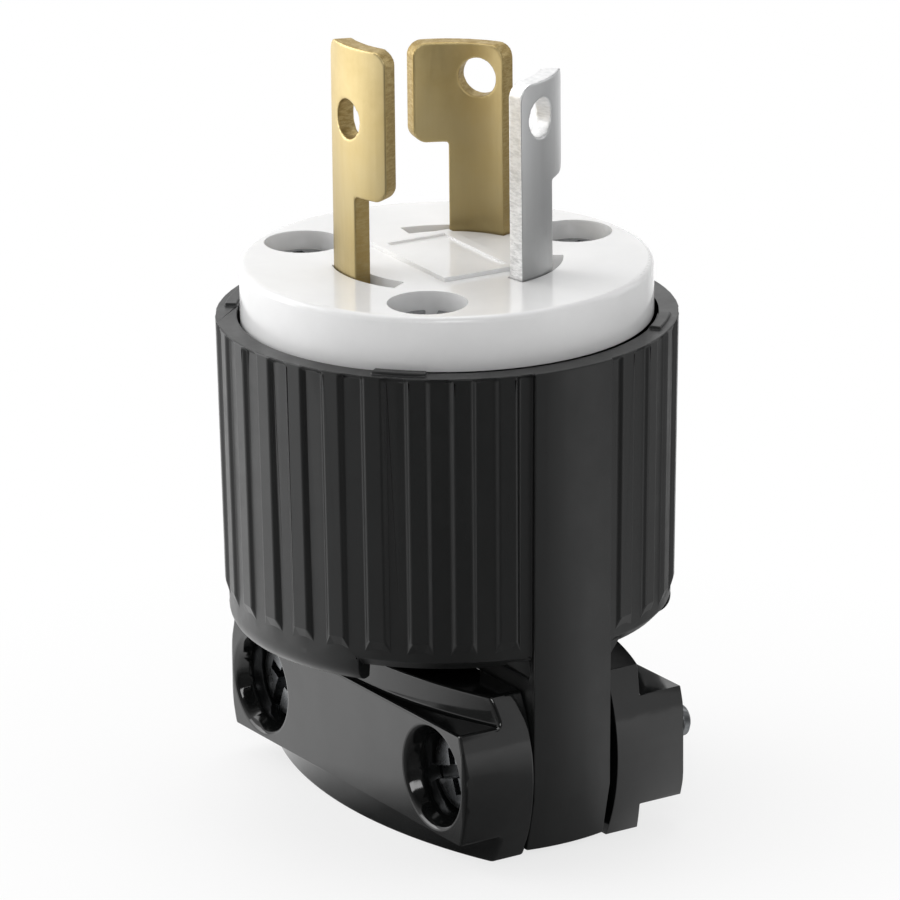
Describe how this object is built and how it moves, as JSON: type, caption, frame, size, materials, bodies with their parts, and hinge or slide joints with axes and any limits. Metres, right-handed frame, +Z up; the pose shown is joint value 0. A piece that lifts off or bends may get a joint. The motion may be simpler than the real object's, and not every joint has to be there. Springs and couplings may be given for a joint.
{
  "type": "locking power plug",
  "caption": "Round locking power plug with curved hooked blades, a white face, a ribbed black grip and a two-part cord clamp.",
  "frame": {"origin": "centre of the plug's round outline, at the level of the bottom of the cord clamp, on which it stands", "axes": "+Z up along the plug through the blades; the tangs lie on +X and -X; the clamp half with the screw heads faces -Y"},
  "size_m": [0.0376, 0.0372, 0.064],
  "materials": {
    "body_nylon": "moulded black nylon, satin",
    "clamp_nylon": "moulded black nylon, glossy",
    "face_nylon": "moulded white nylon, glossy",
    "inner_nylon": "moulded off-white nylon",
    "brass": "stamped yellow brass, satin",
    "nickel": "nickel-plated brass, satin",
    "zinc": "zinc-plated steel",
    "steel": "plated steel",
    "green_screw": "green-dyed plated steel"
  },
  "bodies": {
    "root": {"body_shell": "body_nylon", "face_insert": "face_nylon", "blade_retainer": "inner_nylon", "ground_blade": "brass", "line_blade": "brass", "neutral_blade": "nickel", "ground_pressure_plate": "zinc", "line_pressure_plate": "brass", "neutral_pressure_plate": "zinc", "ground_terminal_screw": "green_screw", "line_terminal_screw": "brass", "neutral_terminal_screw": "nickel", "face_screw_back": "steel", "face_screw_left": "steel", "face_screw_front": "steel", "cord_clamp_front": "clamp_nylon", "cord_clamp_rear": "clamp_nylon", "clamp_screw_left": "steel", "clamp_screw_right": "steel"}
  },
  "joints": []
}
